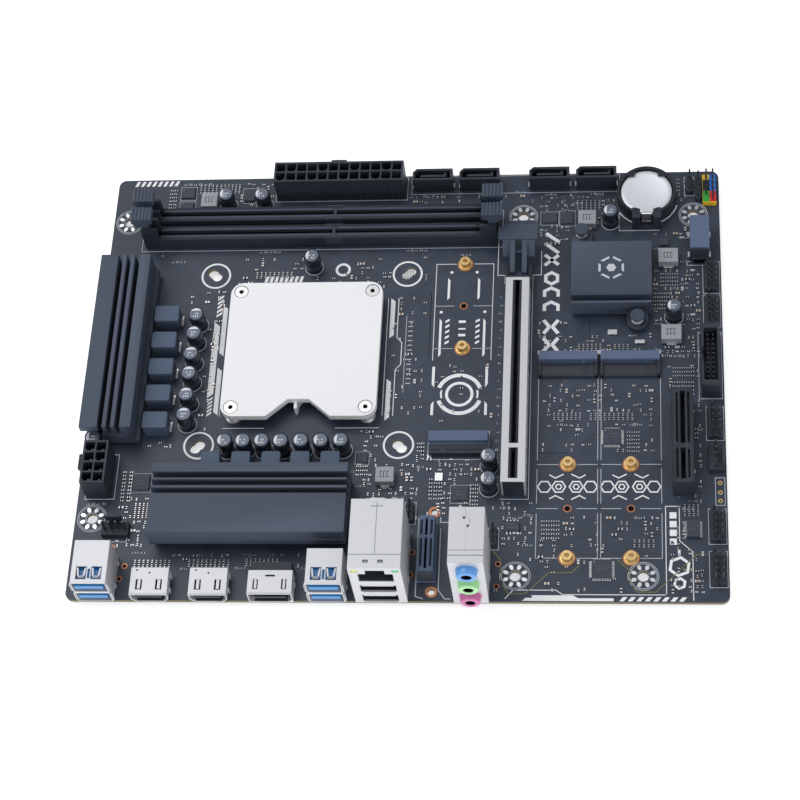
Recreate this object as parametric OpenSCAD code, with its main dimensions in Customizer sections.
// Micro-ATX computer motherboard with a soldered processor, built as separate pieces.
// Millimetres, +Z up. The origin is the rear centre mounting hole at the board's underside.
// +X runs away from the processor power corner, +Y away from the rear connectors.

/* [Board] */
// Width of the circuit board along X
board_w = 240; // [240:0.5:244]
// Depth of the circuit board along Y
board_d = 185.5; // [185.5:0.5:190]
// Thickness of the circuit board
board_t = 1.6; // [1.4:0.1:2]
// Radius of the board's corners
corner_r = 3; // [1:0.5:4]
// Radius of a chassis mounting hole
mount_r = 1.98; // [1.8:0.02:2.1]
// Radius of a processor cooler hole
cooler_hole_r = 2.1; // [1.9:0.1:2.2]

/* [Heatsinks] */
// Top of both voltage regulator heatsinks above the board
vrm_top = 15; // [14:0.5:16]
// Depth of the grooves between the heatsink fins
groove_depth = 7; // [4:0.5:7]
// Top of the chipset heatsink above the board
chipset_top = 10; // [9:0.5:12]
// Top of the processor's heat spreader plate above the board
spreader_top = 7.8; // [7.4:0.1:9]
// Thickness of the heat spreader plate
spreader_t = 3; // [2.5:0.1:3.2]

/* [Slots] */
// Height of a memory slot body
dimm_h = 6.5; // [6:0.25:7]
// Top of a memory slot's latch when it is upright
latch_top = 20.4; // [19:0.2:22]
// Height of an expansion slot's body
pcie_h = 10.6; // [10:0.1:11]
// Height of an M.2 connector
m2_h = 4.2; // [4:0.1:4.6]

/* [Ports] */
// Height of a double USB port
usb_stack_h = 15.3; // [15:0.1:16]
// Height of the network and USB stack
lan_h = 28.9; // [28:0.1:30]
// Height of the audio stack
audio_h = 33.4; // [33:0.1:35]
// Radius of an audio jack's bore
jack_r = 1.8; // [1.75:0.01:1.85]
// Sheet thickness of the port shells
shell_t = 0.4; // [0.3:0.05:0.5]

/* [Fits] */
// Radial clearance of a latch pivot in its bore
pivot_gap = 0.05; // [0.03:0.01:0.08]
// Side clearance of a moving plastic piece
side_gap = 0.2; // [0.15:0.05:0.3]

/* [Hidden] */
$fn = 48;
eps = 0.01;

// Colours
slate = [0.16, 0.18, 0.22];
charcoal = [0.07, 0.08, 0.10];
blue_grey = [0.36, 0.42, 0.55];
steel = [0.80, 0.80, 0.82];
gold = [0.85, 0.66, 0.28];
heatsink_grey = [0.27, 0.31, 0.38];

// Board coordinates: x from the left edge, y from the rear edge, z from the board's top face.
datum = [163.83, 10.16];
mount_holes = [[6.35, 33.02], datum, [209.55, 10.16], [6.35, 165.1], [163.83, 165.1], [229.87, 165.1]];
socket = [81.45, 101.35];
cooler_half = 37.5;
cooler_step = 1.5;
spreader_side = 59;
spreader_corner_r = 5;
post_half = 25.5;
post_hole_r = 1.55;
push_pins = [[186.7, 154.5], [208, 115.4]];
push_pin_r = 1.45;
wifi_holes = [[133.9, 35.7], [133.9, 3.7]];
m2_standoff_at = [[141.7, 143.2], [141.7, 105.2], [182.3, 55.2], [205.3, 55.2],
    [182.3, 17.2], [205.3, 17.2]];
standoff_h = 2.8;
m2_thread_r = 0.8;

// Memory slots
dimm_x = [14.4, 154.1];
dimm_y = [152.3, 161.1];
dimm_w = 6.2;
tower_l = 6.5;
tower_h = 13;
cheek_t = 1.1;
latch_pivot_in = 2.1;
latch_pivot_z = 4.5;
latch_pivot_r = 0.9;

// Expansion slots
x16_x = 162.75;
x16_y = [42.5, 131.4];
key_y = [56.6, 58.4];
x16_latch_pivot = [135.2, 4.2];
x16_pivot_r = 0.9;

// Battery
cell_at = [211.8, 172.8];
cell_r = 10;
cell_t = 3.2;
cell_z = 1.8;
holder_r = 11.3;
// The hooks end in a round bead that the cell tips about: its y, z and radius.
hook_at = [180.15, 5.6];
hook_r = 0.45;
catch_r = 0.35;
catch_at = [161.8, 1.02];

// Heatsinks
left_sink_y = [63.6, 140.1];
rear_sink_x = [30.6, 103];
vrm_base_z = 2.1;
mosfet_h = 1.1;

// Chokes and capacitors
left_choke_y = [67.6, 79.3, 90.9, 102.7, 114.5];
rear_choke_x = [46.5, 57.9, 69.2, 80.1, 91.3];
choke_h = 7;
cap_h = 9;
cap_r = 3.1;
cap_at = [[39.2, 116.5], [39, 108.2], [38.8, 99.1], [38.8, 90.5], [38.6, 81.2], [38.6, 72.5],
    [54.9, 61.3], [61.9, 61.3], [69, 61.3], [76.1, 61.2], [83.7, 61.3], [91.1, 61.3],
    [98.6, 61.4], [46, 172.4], [60.4, 172.2], [82.4, 142.6], [197.8, 162], [221.8, 118.4],
    [153.5, 54.8], [153.5, 45.3], [4.9, 62.9]];

// Ports on the rear edge
rear_face = -0.5;
lan_x = [107, 125.7];
audio_x = [142.3, 154.8];
jack_x = 148.6;
jack_z = [5.8, 16.5, 27.1];
usb3_x = [5.4, 90.3];
usb3_depth = [17.3, 14.2];
usb3_w = 13;
hdmi_x = [25, 46.6];
hdmi_w = 13.9;
dp_x = [68.2, 84.4];

// Moves from board coordinates into the part's frame.
module on_board(at = [0, 0, 0]) {
    translate([at[0] - datum[0], at[1] - datum[1], at[2] + board_t]) children();
}

// A block given by its ranges in board coordinates.
module block(x, y, z) {
    on_board([x[0], y[0], z[0]]) cube([x[1] - x[0], y[1] - y[0], z[1] - z[0]]);
}

// A rectangle with true arcs at its corners.
module rounded_rect(w, d, r) {
    translate([r, 0]) square([w - 2 * r, d]);
    translate([0, r]) square([w, d - 2 * r]);
    for (x = [r, w - r], y = [r, d - r]) {
        translate([x, y]) circle(r);
    }
}

// Extrudes an outline drawn in (x, z) along y, over the range y.
module along_y(y) {
    on_board([0, y[1], 0]) rotate([90, 0, 0]) linear_extrude(y[1] - y[0]) children();
}

// Extrudes an outline drawn in (y, z) along x, over the range x.
module along_x(x) {
    on_board([x[0], 0, 0]) rotate([90, 0, 90]) linear_extrude(x[1] - x[0]) children();
}

module mirrored_about(x) {
    translate([2 * (x - datum[0]), 0, 0]) mirror([1, 0, 0]) children();
}

module post(at, r, z) {
    on_board([at[0], at[1], z[0]]) cylinder(r = r, h = z[1] - z[0]);
}

// ---- Board ----

module pcb() {
    color(slate) translate([-datum[0], -datum[1], 0]) linear_extrude(board_t) difference() {
        rounded_rect(board_w, board_d, corner_r);
        for (h = mount_holes) {
            translate(h) circle(mount_r);
        }
        for (sx = [-1, 1], sy = [-1, 1], s = [cooler_half, cooler_half + cooler_step]) {
            translate([socket[0] + sx * s, socket[1] + sy * s]) circle(cooler_hole_r);
        }
        for (h = push_pins) {
            translate(h) circle(push_pin_r + side_gap);
        }
        for (h = wifi_holes) {
            translate(h) circle(1.3);
        }
        for (h = m2_standoff_at) {
            translate(h) circle(1.75);
        }
        for (sx = [-1, 1], sy = [-1, 1]) {
            translate([socket[0] + sx * post_half, socket[1] + sy * post_half]) circle(post_hole_r);
        }
    }
}

// ---- Processor and its heat spreader ----

module cpu_package() {
    color([0.10, 0.24, 0.16]) block([56.45, 106.45], [88.1, 114.6], [0, 1.3]);
    color([0.35, 0.37, 0.42]) block([72, 95], [96, 107], [1.3, 2.1]);
    color([0.35, 0.37, 0.42]) block([60, 68], [97, 106], [1.3, 2.1]);
}

// The plate has a trapezoid notch in its near edge and a pedestal that meets the dies.
module spreader_plate() {
    corner = socket - [spreader_side / 2, spreader_side / 2];
    head_r = 2.75;
    head_z = spreader_top - 1.5;
    color([0.93, 0.93, 0.94]) difference() {
        union() {
            on_board([corner[0], corner[1], spreader_top - spreader_t])
                linear_extrude(spreader_t) difference() {
                    rounded_rect(spreader_side, spreader_side, spreader_corner_r);
                    polygon([[17.5, -1], [17.5, 0], [25.4, 7.3], [33.5, 7.3], [41.8, 0], [41.8, -1]]);
                }
            block([56.5, 106.5], [90, 112.7], [2.1, spreader_top - spreader_t]);
        }
        for (sx = [-1, 1], sy = [-1, 1]) {
            at = [socket[0] + sx * post_half, socket[1] + sy * post_half];
            post(at, 1.6, [0, spreader_top + 1]);
            post(at, head_r, [head_z, spreader_top + 1]);
        }
    }
}

module spreader_posts() {
    color([0.75, 0.75, 0.76]) for (sx = [-1, 1], sy = [-1, 1]) {
        at = [socket[0] + sx * post_half, socket[1] + sy * post_half];
        difference() {
            union() {
                post(at, 3.1, [0, 0.6]);
                post(at, 2.3, [0, spreader_top - spreader_t]);
                post(at, post_hole_r - 0.05, [-board_t, 0]);
            }
            post(at, 1.25, [0.8, spreader_top]);
        }
    }
}

module spreader_screws() {
    color([0.6, 0.6, 0.62]) for (sx = [-1, 1], sy = [-1, 1]) {
        at = [socket[0] + sx * post_half, socket[1] + sy * post_half];
        difference() {
            union() {
                post(at, 2.6, [spreader_top - 1.5, spreader_top - 0.1]);
                post(at, 1.2, [1.6, spreader_top - 1.5]);
            }
            on_board([at[0], at[1], spreader_top - 0.9]) cylinder(r = 0.9, h = 2, $fn = 6);
        }
    }
}

// ---- Memory slots ----

// One slot: two rails, a groove with its key rib, and a hollow tower at each end.
module dimm_slot(y0) {
    mid = y0 + dimm_w / 2;
    color(charcoal) difference() {
        union() {
            block(dimm_x, [y0, y0 + dimm_w], [0, dimm_h]);
            for (x = [dimm_x[0], dimm_x[1] - tower_l]) {
                block([x, x + tower_l], [y0, y0 + dimm_w], [0, tower_h]);
            }
        }
        block([dimm_x[0] + tower_l, 89.4], [mid - 0.95, mid + 0.95], [1.5, dimm_h + 1]);
        block([90.6, dimm_x[1] - tower_l], [mid - 0.95, mid + 0.95], [1.5, dimm_h + 1]);
        for (x = [dimm_x[0] - 1, dimm_x[1] - tower_l - eps]) {
            block([x, x + tower_l + 1], [y0 + cheek_t, y0 + dimm_w - cheek_t], [1.1, tower_h + 1]);
        }
        for (x = [dimm_x[0] + latch_pivot_in, dimm_x[1] - latch_pivot_in]) {
            on_board([x, y0 + dimm_w - 0.4, latch_pivot_z]) rotate([90, 0, 0])
                cylinder(r = latch_pivot_r + pivot_gap, h = dimm_w - 0.8);
        }
    }
}

module dimm_slot_near() dimm_slot(dimm_y[0]);
module dimm_slot_far() dimm_slot(dimm_y[1]);

// A latch seen from the side with its slot to the right: foot, arm and thumb tab.
module latch_outline() {
    polygon([[-1.3, -2.6], [2.9, -2.6], [2.9, -1.2], [0.9, 1], [0.9, 11.7], [3.3, 13],
        [3.3, latch_top - latch_pivot_z - 0.4], [2.9, latch_top - latch_pivot_z],
        [-4.4, latch_top - latch_pivot_z], [-4.8, latch_top - latch_pivot_z - 0.4],
        [-4.8, 13.2], [-1.7, 9.5], [-1.7, 0]]);
}

// The whole latch: a narrow arm, a tab as wide as the slot, and its two pivot pins.
module dimm_latch(y0, right) {
    arm_w = dimm_w - 2 * cheek_t - 2 * side_gap;
    x = right ? dimm_x[1] - latch_pivot_in : dimm_x[0] + latch_pivot_in;
    color([0.30, 0.34, 0.41]) on_board([x, y0 + dimm_w / 2, latch_pivot_z]) mirror([right ? 1 : 0, 0, 0]) {
        difference() {
            union() {
                translate([0, arm_w / 2, 0]) rotate([90, 0, 0]) linear_extrude(arm_w) latch_outline();
                translate([0, dimm_w / 2 - 0.15, 0]) rotate([90, 0, 0]) linear_extrude(dimm_w - 0.3)
                    intersection() {
                        latch_outline();
                        translate([-6, 10.5]) square([12, 10]);
                    }
                translate([0, dimm_w / 2 - 0.5, 0]) rotate([90, 0, 0])
                    cylinder(r = latch_pivot_r, h = dimm_w - 1);
            }
            for (i = [0 : 4]) {
                translate([-3.9 + 1.4 * i, -dimm_w, latch_top - latch_pivot_z - 0.35])
                    cube([0.5, 2 * dimm_w, 1]);
            }
            translate([1.2, -0.8, 9]) cube([4, 1.6, 3]);
        }
    }
}

module dimm_latch_near_left() dimm_latch(dimm_y[0], false);
module dimm_latch_near_right() dimm_latch(dimm_y[0], true);
module dimm_latch_far_left() dimm_latch(dimm_y[1], false);
module dimm_latch_far_right() dimm_latch(dimm_y[1], true);

// ---- Expansion slots ----

// The black body of a slot centred on x, with its key and card gap.
module slot_body(x, y, w, h) {
    difference() {
        block([x - w / 2, x + w / 2], y, [0, h]);
        block([x - 0.95, x + 0.95], [y[0] + 1.5, key_y[0]], [2.5, h + 1]);
        block([x - 0.95, x + 0.95], [key_y[1], y[1] - 1.2], [2.5, h + 1]);
        for (s = [-1, 1]) {
            block([x + s * 2.1 - 0.35, x + s * 2.1 + 0.35], [y[0] + 2, key_y[0] - 0.5], [h - 1.5, h + 1]);
            block([x + s * 2.1 - 0.35, x + s * 2.1 + 0.35], [key_y[1] + 0.5, y[1] - 2], [h - 1.5, h + 1]);
        }
    }
}

// The long slot's body ends in two ears that carry the latch pivot.
module pcie_x16_housing() {
    ear_y = [x16_y[1] - 1, 139];
    color(charcoal) difference() {
        union() {
            slot_body(x16_x, x16_y, 7.6, pcie_h);
            for (s = [-1, 1]) {
                block([x16_x + s * 4.3 - 0.8, x16_x + s * 4.3 + 0.8], ear_y, [0, 6.6]);
            }
            block([x16_x - 4.3, x16_x + 4.3], ear_y, [0, 1.2]);
        }
        on_board([x16_x - 5, x16_latch_pivot[0], x16_latch_pivot[1]]) rotate([0, 90, 0])
            cylinder(r = x16_pivot_r + pivot_gap, h = 10);
    }
}

module pcie_x16_shield() {
    out = 4.5;
    top = pcie_h + shell_t;
    color(steel) difference() {
        block([x16_x - out, x16_x + out], [x16_y[0], x16_y[1] - 1.2], [0, top]);
        block([x16_x - 3.8, x16_x + 3.8], [0, board_d], [-1, pcie_h]);
        block([x16_x - 1.7, x16_x + 1.7], [x16_y[0] + 1.5, key_y[0]], [0, top + 1]);
        block([x16_x - 1.7, x16_x + 1.7], [key_y[1], x16_y[1] - 2.4], [0, top + 1]);
    }
}

// Seen from the side: a pivot end, a rising neck and a flat thumb tab.
module x16_latch_side(thumb) {
    py = x16_latch_pivot[0];
    polygon(thumb ? [[147, 10.6], [147, 12], [155.9, 12], [155.9, 10.9], [154, 10.2]]
        : [[py - 1.5, 3], [py - 1.5, 8.4], [py + 5, 9.6], [148, 12], [148, 10.6],
            [py + 6.5, 7], [py + 1.8, 3]]);
}

module pcie_x16_latch() {
    color([0.20, 0.23, 0.28]) {
        difference() {
            union() {
                along_x([x16_x - 3.3, x16_x - 1.3]) x16_latch_side(false);
                along_x([x16_x + 1.3, x16_x + 3.3]) x16_latch_side(false);
                along_x([154.8, 170.1]) x16_latch_side(true);
                block([157.2, 168.3], [145.2, 148.2], [10.2, 11.6]);
                on_board([x16_x - 5, x16_latch_pivot[0], x16_latch_pivot[1]]) rotate([0, 90, 0])
                    cylinder(r = x16_pivot_r, h = 10);
                on_board([x16_x - 3.3, x16_latch_pivot[0], x16_latch_pivot[1]]) rotate([0, 90, 0])
                    cylinder(r = 1.6, h = 6.6);
            }
            block([150, 157], [153.0, 160], [0, 20]);
        }
    }
}

module pcie_x4_housing() {
    color(charcoal) slot_body(224.2, [42.5, 81.6], 7.6, pcie_h);
}

// The upright wireless card slot.
module wifi_slot() {
    color(blue_grey) difference() {
        block([129.1, 134.8], [8.7, 30.7], [0, 7.5]);
        block([131.5, 132.4], [9.8, 21.9], [1.5, 9]);
        block([131.5, 132.4], [22.9, 29.6], [1.5, 9]);
        for (x = [129.8, 133.4]) {
            block([x, x + 0.8], [10.6, 21.6], [5, 9]);
            block([x, x + 0.8], [23.2, 29], [5, 9]);
        }
    }
}

// ---- M.2 connectors ----

// A connector that opens towards -y at y0; the shelf is its lower jaw, the tail its stepped back.
module m2_slot(x0, y0, flip, shelf, cap, tail) {
    depth = shelf + cap + tail;
    color(blue_grey) on_board([x0, y0, 0]) mirror([0, flip ? 1 : 0, 0]) {
        difference() {
            union() {
                cube([22, depth, 1.3]);
                translate([0, shelf, 0]) cube([22, cap, m2_h]);
                translate([0, shelf + cap - eps, 0]) cube([22, tail, 2.4]);
            }
            translate([0.9, -1, 1.3]) cube([3.9, shelf + cap - 0.2, 1.5]);
            translate([5.8, -1, 1.3]) cube([15.3, shelf + cap - 0.2, 1.5]);
        }
    }
}

module m2_slot_middle() m2_slot(130.7, 68.4, true, 1, 4.2, 4.3);
module m2_slot_left() mirrored_about(182) m2_slot(171, 92, false, 5.8, 3.5, 1.2);
module m2_slot_right() mirrored_about(205.2) m2_slot(194.2, 92, false, 5.8, 3.5, 1.2);

module m2_standoffs() {
    color(gold) for (at = m2_standoff_at) {
        difference() {
            union() {
                post(at, 2.75, [0, 0.3]);
                post(at, 2, [0, standoff_h]);
                post(at, 1.7, [-board_t, 0]);
            }
            post(at, m2_thread_r, [-board_t - 1, standoff_h + 1]);
        }
    }
}

// ---- Power headers and drive ports ----

// One cell of a power header; keyed cells have two corners cut off.
module power_cell(keyed) {
    c = keyed ? 0.9 : 0;
    w = 3.5;
    polygon([[c, 0], [w - c, 0], [w, c], [w, w], [0, w], [0, c]]);
}

module power_header(x0, y0, columns, rows, along, h) {
    pitch = 4.2;
    w = columns * pitch + 0.9;
    d = rows * pitch + 0.9;
    difference() {
        on_board([x0, y0, 0]) cube([w, d, h]);
        for (i = [0 : columns - 1], j = [0 : rows - 1]) {
            on_board([x0 + 0.8 + i * pitch, y0 + 0.8 + j * pitch, 2]) linear_extrude(h)
                power_cell((i + j * along) % 3 == 0);
        }
    }
}

module atx_power_header() {
    color(charcoal) {
        power_header(65.5, 174.6, 12, 2, 2, 13.2);
        along_x([88, 94]) polygon([[183.8, 6], [185.4, 11.4], [185.4, 12.2], [183.8, 12.8]]);
    }
}

module cpu_power_header() {
    color(charcoal) {
        power_header(3.2, 41.4, 2, 4, 1, 13);
        along_y([47.5, 53.5]) polygon([[3.3, 6], [1.8, 11.4], [1.8, 12.2], [3.3, 12.8]]);
    }
}

module power_header_pins() {
    color(gold) {
        for (i = [0 : 11], j = [0 : 1]) {
            on_board([65.5 + 2.05 + 4.2 * i, 174.6 + 2.05 + 4.2 * j, 2]) cube([1, 1, 8]);
        }
        for (i = [0 : 1], j = [0 : 3]) {
            on_board([3.2 + 2.05 + 4.2 * i, 41.4 + 2.05 + 4.2 * j, 2]) cube([1, 1, 8]);
        }
    }
}

// An upright drive port: a shell with one cut corner and an L-shaped tongue.
module sata_port(x0) {
    w = 15.8;
    d = 5.5;
    h = 8;
    color(charcoal) on_board([x0, 177.9, 0]) {
        difference() {
            linear_extrude(h) polygon([[0, 0], [w, 0], [w, d], [1.6, d], [0, d - 1.6]]);
            translate([0, 0, 1.6]) linear_extrude(h)
                polygon([[1, 1], [w - 1, 1], [w - 1, d - 1], [2, d - 1], [1, d - 2]]);
        }
        translate([3, 2, 1.6]) cube([10.4, 1.1, h - 2.4]);
        translate([12.3, 2.9, 1.6]) cube([1.1, 1.2, h - 2.4]);
    }
}

module sata_port_1() sata_port(120);
module sata_port_2() sata_port(138.5);
module sata_port_3() sata_port(166);
module sata_port_4() sata_port(184.4);

// ---- Battery ----

// A ring with a floor, two far hooks over the cell and a near tower that carries the catch.
module battery_holder() {
    inner = cell_r + 0.35;
    wall_top = 6.2;
    color(charcoal) difference() {
        union() {
            post(cell_at, holder_r, [0, wall_top]);
            block([cell_at[0] - 5.6, cell_at[0] + 5.6], [158.6, 163.4], [0, 8]);
        }
        difference() {
            post(cell_at, inner, [0.6, 20]);
            for (s = [-1, 1]) {
                hook_x = cell_at[0] + s * 5.9 - 1.4;
                block([hook_x, hook_x + 2.8], [hook_at[0], hook_at[0] + 6],
                    [hook_at[1] - hook_r, wall_top]);
                on_board([hook_x, hook_at[0], hook_at[1]]) rotate([0, 90, 0])
                    cylinder(r = hook_r, h = 2.8);
            }
        }
        block([cell_at[0] - 2.5, cell_at[0] + 2.5], [158, 164], [0.6, 20]);
    }
}

module battery_cell() {
    color([0.86, 0.86, 0.89]) {
        post(cell_at, cell_r, [cell_z + 0.6, cell_z + cell_t]);
        post(cell_at, cell_r - 1.2, [cell_z, cell_z + 0.6]);
    }
}

module battery_catch() {
    x = [cell_at[0] - 2, cell_at[0] + 2];
    color(steel) {
        along_x(x) polygon([[161.6, catch_at[1]], [162.0, catch_at[1]], [162.0, 7.4],
            [160.4, 8.6], [160.1, 8.2], [161.6, 7.2]]);
        on_board([x[0], catch_at[0], catch_at[1]]) rotate([0, 90, 0])
            cylinder(r = catch_r, h = x[1] - x[0]);
    }
}

module battery_contact() {
    color(steel) along_x([cell_at[0] - 1.5, cell_at[0] + 1.5])
        polygon([[170, 0.6], [176, 0.6], [176, 0.8], [171, 0.85], [169, 1.0], [169, 0.75]]);
}

// ---- Chipset ----

module chipset_package() {
    color([0.12, 0.20, 0.16]) block([186, 210], [121, 145], [0, 1.0]);
    color([0.3, 0.32, 0.36]) block([193, 203], [128, 138], [1.0, 1.6]);
}

module chipset_heatsink() {
    x = [183, 213.5];
    color(heatsink_grey) difference() {
        union() {
            along_x(x) polygon([[118.9, 1.6], [150.5, 1.6], [150.5, 3.4], [146.7, 3.4],
                [146.7, chipset_top], [124.7, chipset_top], [122.9, chipset_top - 1],
                [122.9, 4.5], [119.9, 4.5], [119.9, chipset_top], [118.9, chipset_top]]);
            for (at = push_pins) {
                post(at, 4, [1.6, 3]);
            }
            block([push_pins[0][0] - 3.7, push_pins[0][0] + 4], [148, push_pins[0][1]], [1.6, 3]);
            block([push_pins[1][0] - 4, push_pins[1][0] + 4], [push_pins[1][1], 120], [1.6, 3]);
        }
        for (at = push_pins) {
            post(at, push_pin_r + 0.1, [0, 4]);
        }
    }
}

module push_pin(at) {
    color(charcoal) {
        post(at, push_pin_r, [-board_t, 6.1]);
        post(at, 2.8, [6, 7.1]);
    }
}

module push_pin_spring(at) {
    color(steel) difference() {
        post(at, 2.4, [3, 6]);
        post(at, 1.75, [2, 7]);
    }
}

module push_pin_left() push_pin(push_pins[0]);
module push_pin_right() push_pin(push_pins[1]);
module push_pin_spring_left() push_pin_spring(push_pins[0]);
module push_pin_spring_right() push_pin_spring(push_pins[1]);

// ---- Voltage regulator ----

module left_vrm_heatsink() {
    floor_z = vrm_top - groove_depth;
    color(heatsink_grey) difference() {
        along_y(left_sink_y) polygon([[6, vrm_base_z], [21.8, vrm_base_z], [21.8, 5], [20.4, 5],
            [20.4, vrm_top], [16.1, vrm_top], [16.1, floor_z], [14.3, floor_z], [14.3, vrm_top],
            [12.6, vrm_top], [12.6, floor_z], [11.1, floor_z], [11.1, vrm_top], [9.5, vrm_top],
            [9.5, floor_z], [7.7, floor_z], [7.7, vrm_top], [0.8, vrm_top], [0.8, 11.5], [6, 11.5]]);
        for (y = [66.5, 136.5]) {
            post([18, y], 1.25, [0, 6]);
        }
        block([5, 8.4], [left_sink_y[0] - 1, 66.4], [0, 11.5]);
    }
}

module rear_vrm_heatsink() {
    floor_z = vrm_top - groove_depth;
    color(heatsink_grey) difference() {
        along_x(rear_sink_x) polygon([[22, vrm_base_z], [48.6, vrm_base_z], [48.6, vrm_top],
            [44.8, vrm_top], [44.8, floor_z], [42.4, floor_z], [42.4, vrm_top], [41.5, vrm_top],
            [41.5, floor_z], [39.3, floor_z], [39.3, vrm_top], [38.2, vrm_top], [38.2, floor_z],
            [36.1, floor_z], [36.1, vrm_top], [20.4, vrm_top], [20.4, 9.3], [19.7, 9.3],
            [19.7, 6], [22, 6]]);
        for (x = [33.5, 100]) {
            post([x, 27], 1.25, [0, 6]);
        }
    }
}

module vrm_thermal_pads() {
    color([0.62, 0.66, 0.72]) {
        block([9, 17], [68, 123], [mosfet_h, vrm_base_z]);
        block([45, 99], [33.5, 42.5], [mosfet_h, vrm_base_z]);
    }
}

module vrm_mosfets() {
    color([0.06, 0.06, 0.07]) {
        for (y = left_choke_y) {
            block([10, 16], [y + 1, y + 6], [0, mosfet_h]);
        }
        for (x = rear_choke_x) {
            block([x + 1, x + 6], [35, 41], [0, mosfet_h]);
        }
    }
}

module choke(at, w, d) {
    c = 0.6;
    on_board([at[0], at[1], 0]) linear_extrude(choke_h)
        polygon([[c, 0], [w - c, 0], [w, c], [w, d - c], [w - c, d], [c, d], [0, d - c], [0, c]]);
}

module vrm_chokes() {
    color([0.45, 0.52, 0.62]) {
        for (y = left_choke_y) {
            choke([22.5, y], 9.6, 7);
        }
        for (x = rear_choke_x) {
            choke([x, 49], 7.1, 8.6);
        }
    }
}

module polymer_capacitors() {
    color([0.72, 0.76, 0.84]) for (at = cap_at) {
        post(at, 2.7, [0, 0.5]);
        post(at, cap_r, [0.4, cap_h]);
    }
}

// A moulded inductor with a chamfered top edge and two side terminals.
module inductor(x, y) {
    block(x, y, [0.3, 4]);
    block([x[0] + 1.8, x[1] - 1.8], [y[0] - 0.4, y[1] + 0.4], [0, 1.4]);
}

module power_inductors() {
    color([0.74, 0.74, 0.76]) {
        inductor([111.7, 118.5], [46.2, 52.5]);
        inductor([35.2, 41.7], [169.7, 176.4]);
        inductor([185.3, 192.3], [158.9, 165.3]);
        inductor([216.1, 223.7], [140.8, 147.2]);
        inductor([216.9, 224.5], [106.4, 112.9]);
    }
}

// ---- Rear ports ----

// A sheet-metal shell that is open at the rear edge, with optional shelves between its ports.
module port_shell(x, depth, h, shelves) {
    difference() {
        block(x, [rear_face, depth], [0, h]);
        block([x[0] + shell_t, x[1] - shell_t], [rear_face - 1, depth - shell_t], [shell_t, h - shell_t]);
    }
    for (z = shelves) {
        block([x[0] + eps, x[1] - eps], [rear_face, rear_face + 3], [z, z + 1.4]);
    }
}

module usb3_shells() {
    color(steel) for (i = [0, 1]) {
        port_shell([usb3_x[i], usb3_x[i] + usb3_w], usb3_depth[i] - 0.5, usb_stack_h, [6.9]);
    }
}

module usb3_tongues() {
    color([0.10, 0.42, 0.75]) for (i = [0, 1]) {
        x = [usb3_x[i] + shell_t + 0.1, usb3_x[i] + usb3_w - shell_t - 0.1];
        block(x, [9.5, usb3_depth[i] - 1], [shell_t + 0.1, usb_stack_h - shell_t - 0.1]);
        for (z = [3.6, 11.4]) {
            block([x[0] + 1.2, x[1] - 1.2], [1.2, 9.6], [z, z + 1.9]);
        }
    }
}

module hdmi_shells() {
    color(steel) for (x0 = hdmi_x) {
        difference() {
            along_y([rear_face, 10.4]) polygon([[x0 + 1.7, 0], [x0 + hdmi_w - 1.7, 0],
                [x0 + hdmi_w, 2], [x0 + hdmi_w, 6], [x0, 6], [x0, 2]]);
            along_y([rear_face - 1, 10]) polygon([[x0 + 1.9, 0.4], [x0 + hdmi_w - 1.9, 0.4],
                [x0 + hdmi_w - 0.4, 2.2], [x0 + hdmi_w - 0.4, 5.6], [x0 + 0.4, 5.6], [x0 + 0.4, 2.2]]);
        }
    }
}

module displayport_shell() {
    color(steel) difference() {
        block(dp_x, [rear_face, 9], [0, 7]);
        along_y([rear_face - 1, 10]) polygon([[dp_x[0] + 0.4, 0.4], [dp_x[1] - 1.8, 0.4],
            [dp_x[1] - 0.4, 1.8], [dp_x[1] - 0.4, 6.6], [dp_x[0] + 0.4, 6.6]]);
    }
}

module display_tongues() {
    color(charcoal) {
        for (x0 = hdmi_x) {
            block([x0 + 2, x0 + hdmi_w - 2], [1, 9.9], [3.1, 4.1]);
            block([x0 + 0.5, x0 + hdmi_w - 0.5], [8, 9.9], [2.3, 5.5]);
        }
        block([dp_x[0] + 2, dp_x[1] - 2], [1, 9.5], [3.4, 4.6]);
        block([dp_x[0] + 0.6, dp_x[1] - 0.6], [9.05, 12.5], [0, 6.6]);
    }
}

// The tall stack: a network socket above two USB ports.
module lan_usb_shell() {
    depth = 26.6;
    mid = (lan_x[0] + lan_x[1]) / 2;
    color(steel) difference() {
        block(lan_x, [rear_face, depth], [0, lan_h]);
        block([lan_x[0] + shell_t, lan_x[1] - shell_t], [rear_face + 0.5, depth - shell_t],
            [shell_t, lan_h - shell_t]);
        block([mid - 6.2, mid + 6.2], [-2, 2], [17.8, 23.9]);
        block([mid - 3.4, mid + 3.4], [-2, 2], [23, 26.7]);
        for (z = [1.2, 9.4]) {
            block([mid - 6.4, mid + 6.4], [-2, 2], [z, z + 5.1]);
        }
        for (s = [-1, 1]) {
            block([mid + s * 7.2 - 1.2, mid + s * 7.2 + 1.2], [-2, 2], [25.3, 27.2]);
        }
    }
}

module lan_usb_insert() {
    mid = (lan_x[0] + lan_x[1]) / 2;
    color(charcoal) difference() {
        block([lan_x[0] + 0.6, lan_x[1] - 0.6], [0.2, 26], [0.6, lan_h - 0.6]);
        block([mid - 5.9, mid + 5.9], [-2, 14], [17.9, 23.9]);
        block([mid - 3.2, mid + 3.2], [-2, 14], [23, 26.5]);
        for (z = [1.2, 9.4]) {
            difference() {
                block([mid - 6.2, mid + 6.2], [-2, 11], [z, z + 5.1]);
                block([mid - 5.4, mid + 5.4], [1, 12], [z + 2.6, z + 4.4]);
            }
        }
    }
}

module audio_housing() {
    color(steel) difference() {
        block(audio_x, [rear_face, 21.1], [0, audio_h]);
        for (z = jack_z) {
            on_board([jack_x, 22, z]) rotate([90, 0, 0]) cylinder(r = 3.75, h = 26);
        }
    }
}

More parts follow.
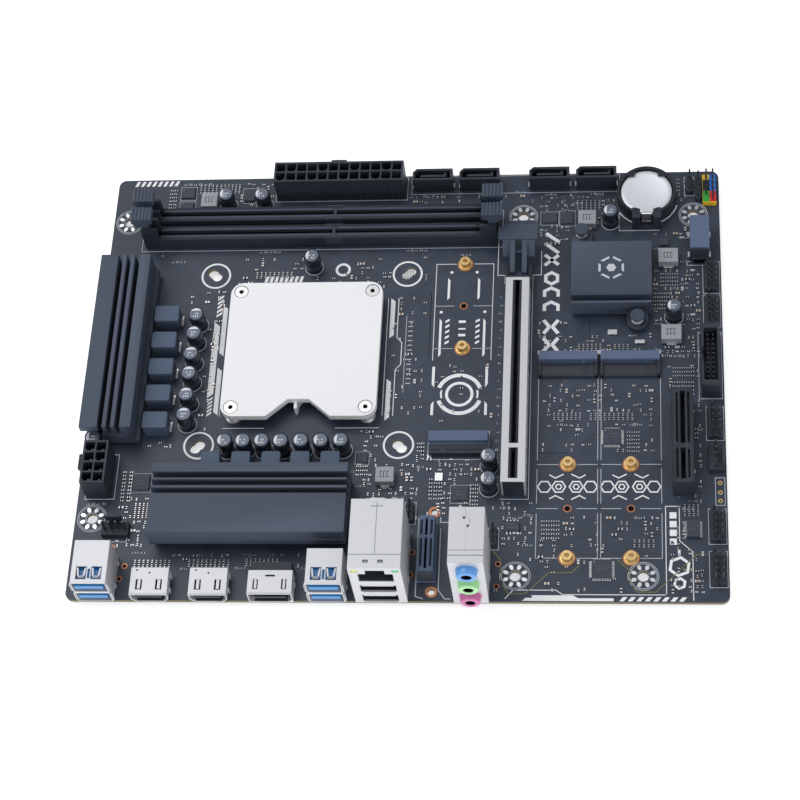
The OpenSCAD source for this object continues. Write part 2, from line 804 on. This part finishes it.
module audio_jacks() {
    tints = ["hotpink", "lightgreen", "deepskyblue"];
    for (i = [0 : 2]) {
        color(tints[i]) on_board([jack_x, 20.8, jack_z[i]]) rotate([90, 0, 0]) difference() {
            cylinder(r = 3.7, h = 24.1);
            translate([0, 0, 7.1]) cylinder(r = jack_r, h = 20);
        }
    }
}

// ---- Pin headers ----

pitch = 2.54;
// Each header: near left corner, rows along x, rows along y.
headers = [[233.7, 6.4, 2, 5], [233.7, 23.4, 2, 5], [233.7, 65.6, 2, 5], [233.7, 114.4, 2, 5],
    [233.7, 129.4, 2, 5], [233.7, 169.6, 2, 5], [123.7, 31.2, 1, 3], [154.4, 21.4, 1, 3],
    [227.3, 174.6, 1, 3], [230.6, 171.2, 1, 4]];

module header_bases() {
    color(charcoal) for (h = headers) {
        block([h[0], h[0] + h[2] * pitch], [h[1], h[1] + h[3] * pitch], [0, 2.5]);
    }
}

module header_pins() {
    color(gold) for (h = headers, i = [0 : h[2] - 1], j = [0 : h[3] - 1]) {
        at = [h[0] + pitch * (i + 0.5) - 0.32, h[1] + pitch * (j + 0.5) - 0.32];
        on_board([at[0], at[1], 2.5]) cube([0.64, 0.64, 5.8]);
    }
}

// The shrouded twenty pin header with its keying gap in the left wall.
module usb3_header() {
    x = [231.6, 238.4];
    y = [83.6, 110.4];
    color(charcoal) difference() {
        block(x, y, [0, 9]);
        block([x[0] + 0.9, x[1] - 0.9], [y[0] + 2.2, y[1] - 2.2], [2, 10]);
        block([x[0] - 1, x[0] + 2], [94, 100], [4, 10]);
    }
    color(gold) for (i = [0, 1], j = [0 : 9]) {
        on_board([x[0] + 2.1 + 2 * i, 87.7 + 2 * j, 1.9]) cube([0.5, 0.5, 5.6]);
    }
}

// Four-pin fan headers: position of the near left corner and whether the row runs along x.
fans = [[11, 25.1, true], [233.5, 51.8, false]];

module fan_header(at, along) {
    l = 10.2;
    on_board([at[0], at[1], 0]) rotate([0, 0, along ? 0 : 90]) mirror([0, along ? 0 : 1, 0]) {
        cube([l, 5.6, 2.5]);
        translate([2, 4.6, 0]) cube([6, 1, 8]);
        for (i = [0 : 3]) {
            translate([1.0 + pitch * i, 2.2, 2.4]) cube([0.64, 0.64, 6]);
        }
    }
}

module fan_headers() {
    color(charcoal) for (f = fans) {
        fan_header(f, f[2]);
    }
}

module front_usb_c_header() {
    color(charcoal) block([228.7, 235], [144.2, 158.4], [0, 2.6]);
    color(blue_grey) block([228.2, 235.5], [143.9, 158.7], [2.6, 9.3]);
}

// ---- Small packages ----

// Low, wide packages: x range, y range and height.
ics = [[[195.2, 201.8], [63.2, 69.6], 1.4], [[191.2, 198.4], [9.2, 16.2], 1.4],
    [[225.2, 229.8], [25.2, 32], 1.6], [[159.8, 165], [27.8, 31.4], 1.5],
    [[140, 146], [40, 46], 0.9], [[20.4, 26.6], [44.6, 51], 0.9], [[104, 108], [56, 60], 0.8],
    [[26.4, 31.6], [176, 181], 1], [[26.4, 31.6], [169.8, 174], 1], [[51.8, 56], [174.2, 180], 1],
    [[171.2, 177], [161.8, 166.6], 1], [[178.6, 183.4], [161.2, 167], 1],
    [[216.4, 220.4], [150.6, 154], 0.9]];

module ic_packages() {
    color([0.09, 0.10, 0.12]) for (p = ics) {
        block(p[0], p[1], [0, p[2]]);
    }
}

module crystals() {
    color([0.85, 0.85, 0.86]) {
        block([133.4, 136.4], [48.2, 51.6], [0, 0.8]);
        block([196.8, 200.4], [110.4, 112.6], [0, 1]);
        block([207, 210.8], [106.4, 108], [0, 1]);
    }
}

pcb();
cpu_package();
spreader_plate();
spreader_posts();
spreader_screws();
dimm_slot_near();
dimm_slot_far();
dimm_latch_near_left();
dimm_latch_near_right();
dimm_latch_far_left();
dimm_latch_far_right();
pcie_x16_housing();
pcie_x16_shield();
pcie_x16_latch();
pcie_x4_housing();
wifi_slot();
m2_slot_middle();
m2_slot_left();
m2_slot_right();
m2_standoffs();
atx_power_header();
cpu_power_header();
power_header_pins();
sata_port_1();
sata_port_2();
sata_port_3();
sata_port_4();
battery_holder();
battery_cell();
battery_catch();
battery_contact();
chipset_package();
chipset_heatsink();
push_pin_left();
push_pin_right();
push_pin_spring_left();
push_pin_spring_right();
left_vrm_heatsink();
rear_vrm_heatsink();
vrm_thermal_pads();
vrm_mosfets();
vrm_chokes();
polymer_capacitors();
power_inductors();
usb3_shells();
usb3_tongues();
hdmi_shells();
displayport_shell();
display_tongues();
lan_usb_shell();
lan_usb_insert();
audio_housing();
audio_jacks();
header_bases();
header_pins();
usb3_header();
fan_headers();
front_usb_c_header();
ic_packages();
crystals();
